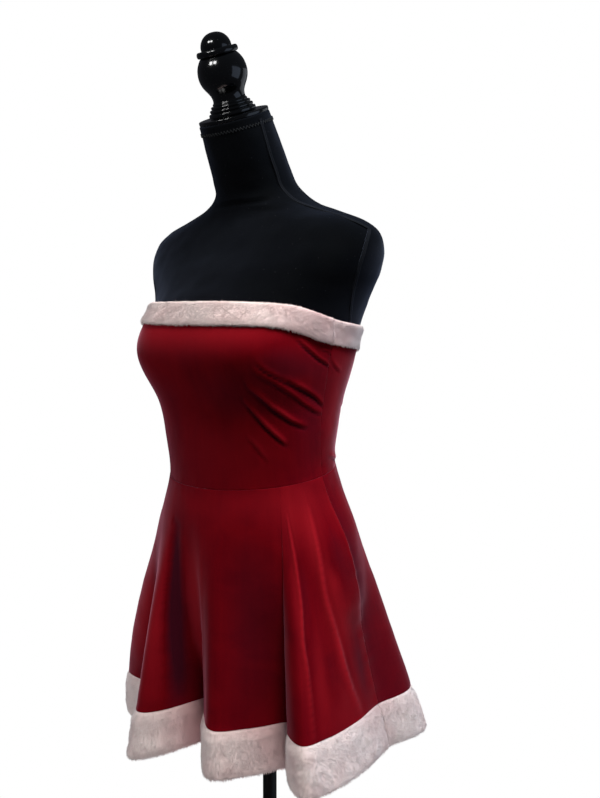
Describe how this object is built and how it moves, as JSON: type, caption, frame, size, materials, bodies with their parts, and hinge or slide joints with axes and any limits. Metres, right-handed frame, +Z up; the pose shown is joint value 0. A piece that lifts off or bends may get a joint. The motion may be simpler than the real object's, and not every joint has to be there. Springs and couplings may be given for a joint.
{
  "type": "santa dress on a dress form",
  "caption": "Strapless velvet santa dress with plush neckline and hem bands and a flared folded skirt, worn by a limbless velvet dress form with a turned finial, on a pole with a round foot.",
  "frame": {"origin": "on the floor, at the centre of the foot's underside and on the pole's axis", "axes": "+Z up along the pole; the front of the dress faces -Y, and the wearer's left is +X"},
  "size_m": [0.3947, 0.4004, 1.5808],
  "materials": {
    "red_velvet": "crushed stretch velvet",
    "white_plush": "short fluffy pile",
    "form_velvet": "black velvet cover",
    "finial_lacquer": "black gloss lacquer",
    "black_steel": "black satin paint"
  },
  "bodies": {
    "root": {"foot_plate": "black_steel", "foot_collar": "black_steel", "pole": "black_steel", "form_flange": "black_steel", "form_torso": "form_velvet", "neck_cap": "finial_lacquer", "finial": "finial_lacquer", "bodice_front": "red_velvet", "bodice_back": "red_velvet", "skirt_front": "red_velvet", "skirt_back": "red_velvet", "neck_plush_front": "white_plush", "neck_plush_back": "white_plush", "hem_plush_front": "white_plush", "hem_plush_back": "white_plush"}
  },
  "joints": []
}
